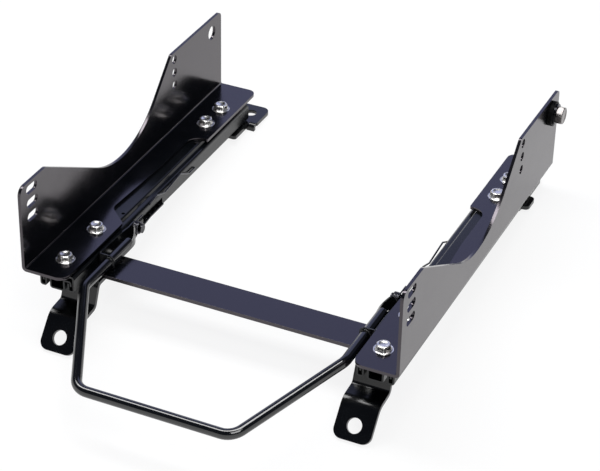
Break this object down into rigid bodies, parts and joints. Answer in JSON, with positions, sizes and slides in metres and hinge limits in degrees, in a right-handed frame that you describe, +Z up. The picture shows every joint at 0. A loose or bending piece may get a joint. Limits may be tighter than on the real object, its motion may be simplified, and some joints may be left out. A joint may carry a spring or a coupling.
{
  "type": "seat slide rail",
  "caption": "Pair of sliding seat rails with side brackets, stepped feet, cross strip and tube release handle for a side-mounted bucket seat.",
  "frame": {"origin": "midway between the two rear floor holes, at the underside of the rear feet", "axes": "+X across the seat to the side with the belt bolt, +Y to the rear, +Z up"},
  "size_m": [0.4111, 0.5387, 0.1704],
  "materials": {
    "black_paint": "satin",
    "handle_black": "semi-gloss",
    "rail_steel": "satin",
    "latch_steel": "satin",
    "zinc": "bright",
    "spring_wire": "satin",
    "cage_steel": "satin",
    "ball_steel": "polished",
    "spacer_black": "matte"
  },
  "bodies": {
    "base": {"left_lower_rail": "rail_steel", "right_lower_rail": "rail_steel", "left_front_foot": "black_paint", "right_front_foot": "black_paint", "left_rear_foot": "black_paint", "right_rear_foot": "black_paint", "left_foot_rivets": "zinc", "right_foot_rivets": "zinc", "left_travel_stops": "zinc", "right_travel_stops": "zinc", "cross_bar": "black_paint"},
    "left_carriage": {"left_upper_rail": "rail_steel", "left_side_bracket": "black_paint", "left_flange_bolts": "zinc", "left_weld_nuts": "zinc", "left_latch_pin": "zinc", "left_latch_spring": "spring_wire", "left_rail_wire": "spring_wire"},
    "right_carriage": {"right_upper_rail": "rail_steel", "right_side_bracket": "black_paint", "right_flange_bolts": "zinc", "right_weld_nuts": "zinc", "right_latch_pin": "zinc", "right_latch_spring": "spring_wire", "right_rail_wire": "spring_wire", "anchor_bolt": "zinc", "anchor_spacer": "spacer_black", "anchor_washers": "zinc"},
    "latch": {"release_handle": "handle_black", "left_latch_lever": "latch_steel", "right_latch_lever": "latch_steel"},
    "left_cages": {"left_outer_ball_cage": "cage_steel", "left_inner_ball_cage": "cage_steel", "left_balls": "ball_steel"},
    "right_cages": {"right_outer_ball_cage": "cage_steel", "right_inner_ball_cage": "cage_steel", "right_balls": "ball_steel"}
  },
  "joints": [
    {"name": "left_slide", "type": "slide", "parent": "base", "child": "left_carriage", "axis": [0, 1, 0], "range_m": [-0.14, 0.03]},
    {"name": "right_slide", "type": "slide", "parent": "base", "child": "right_carriage", "axis": [0, 1, 0], "range_m": [-0.14, 0.03]},
    {"name": "left_cage_slide", "type": "slide", "parent": "base", "child": "left_cages", "axis": [0, 1, 0], "range_m": [-0.07, 0.015]},
    {"name": "right_cage_slide", "type": "slide", "parent": "base", "child": "right_cages", "axis": [0, 1, 0], "range_m": [-0.07, 0.015]},
    {"name": "latch_hinge", "type": "hinge", "parent": "left_carriage", "child": "latch", "pos_m": [0, -0.285, 0.018], "axis": [-1, 0, 0], "range_deg": [-1.5, 1]}
  ],
  "couplings": [
    {"joint": "right_slide", "follows": "left_slide", "ratio": 1},
    {"joint": "left_cage_slide", "follows": "left_slide", "ratio": 0.5},
    {"joint": "right_cage_slide", "follows": "left_slide", "ratio": 0.5}
  ]
}
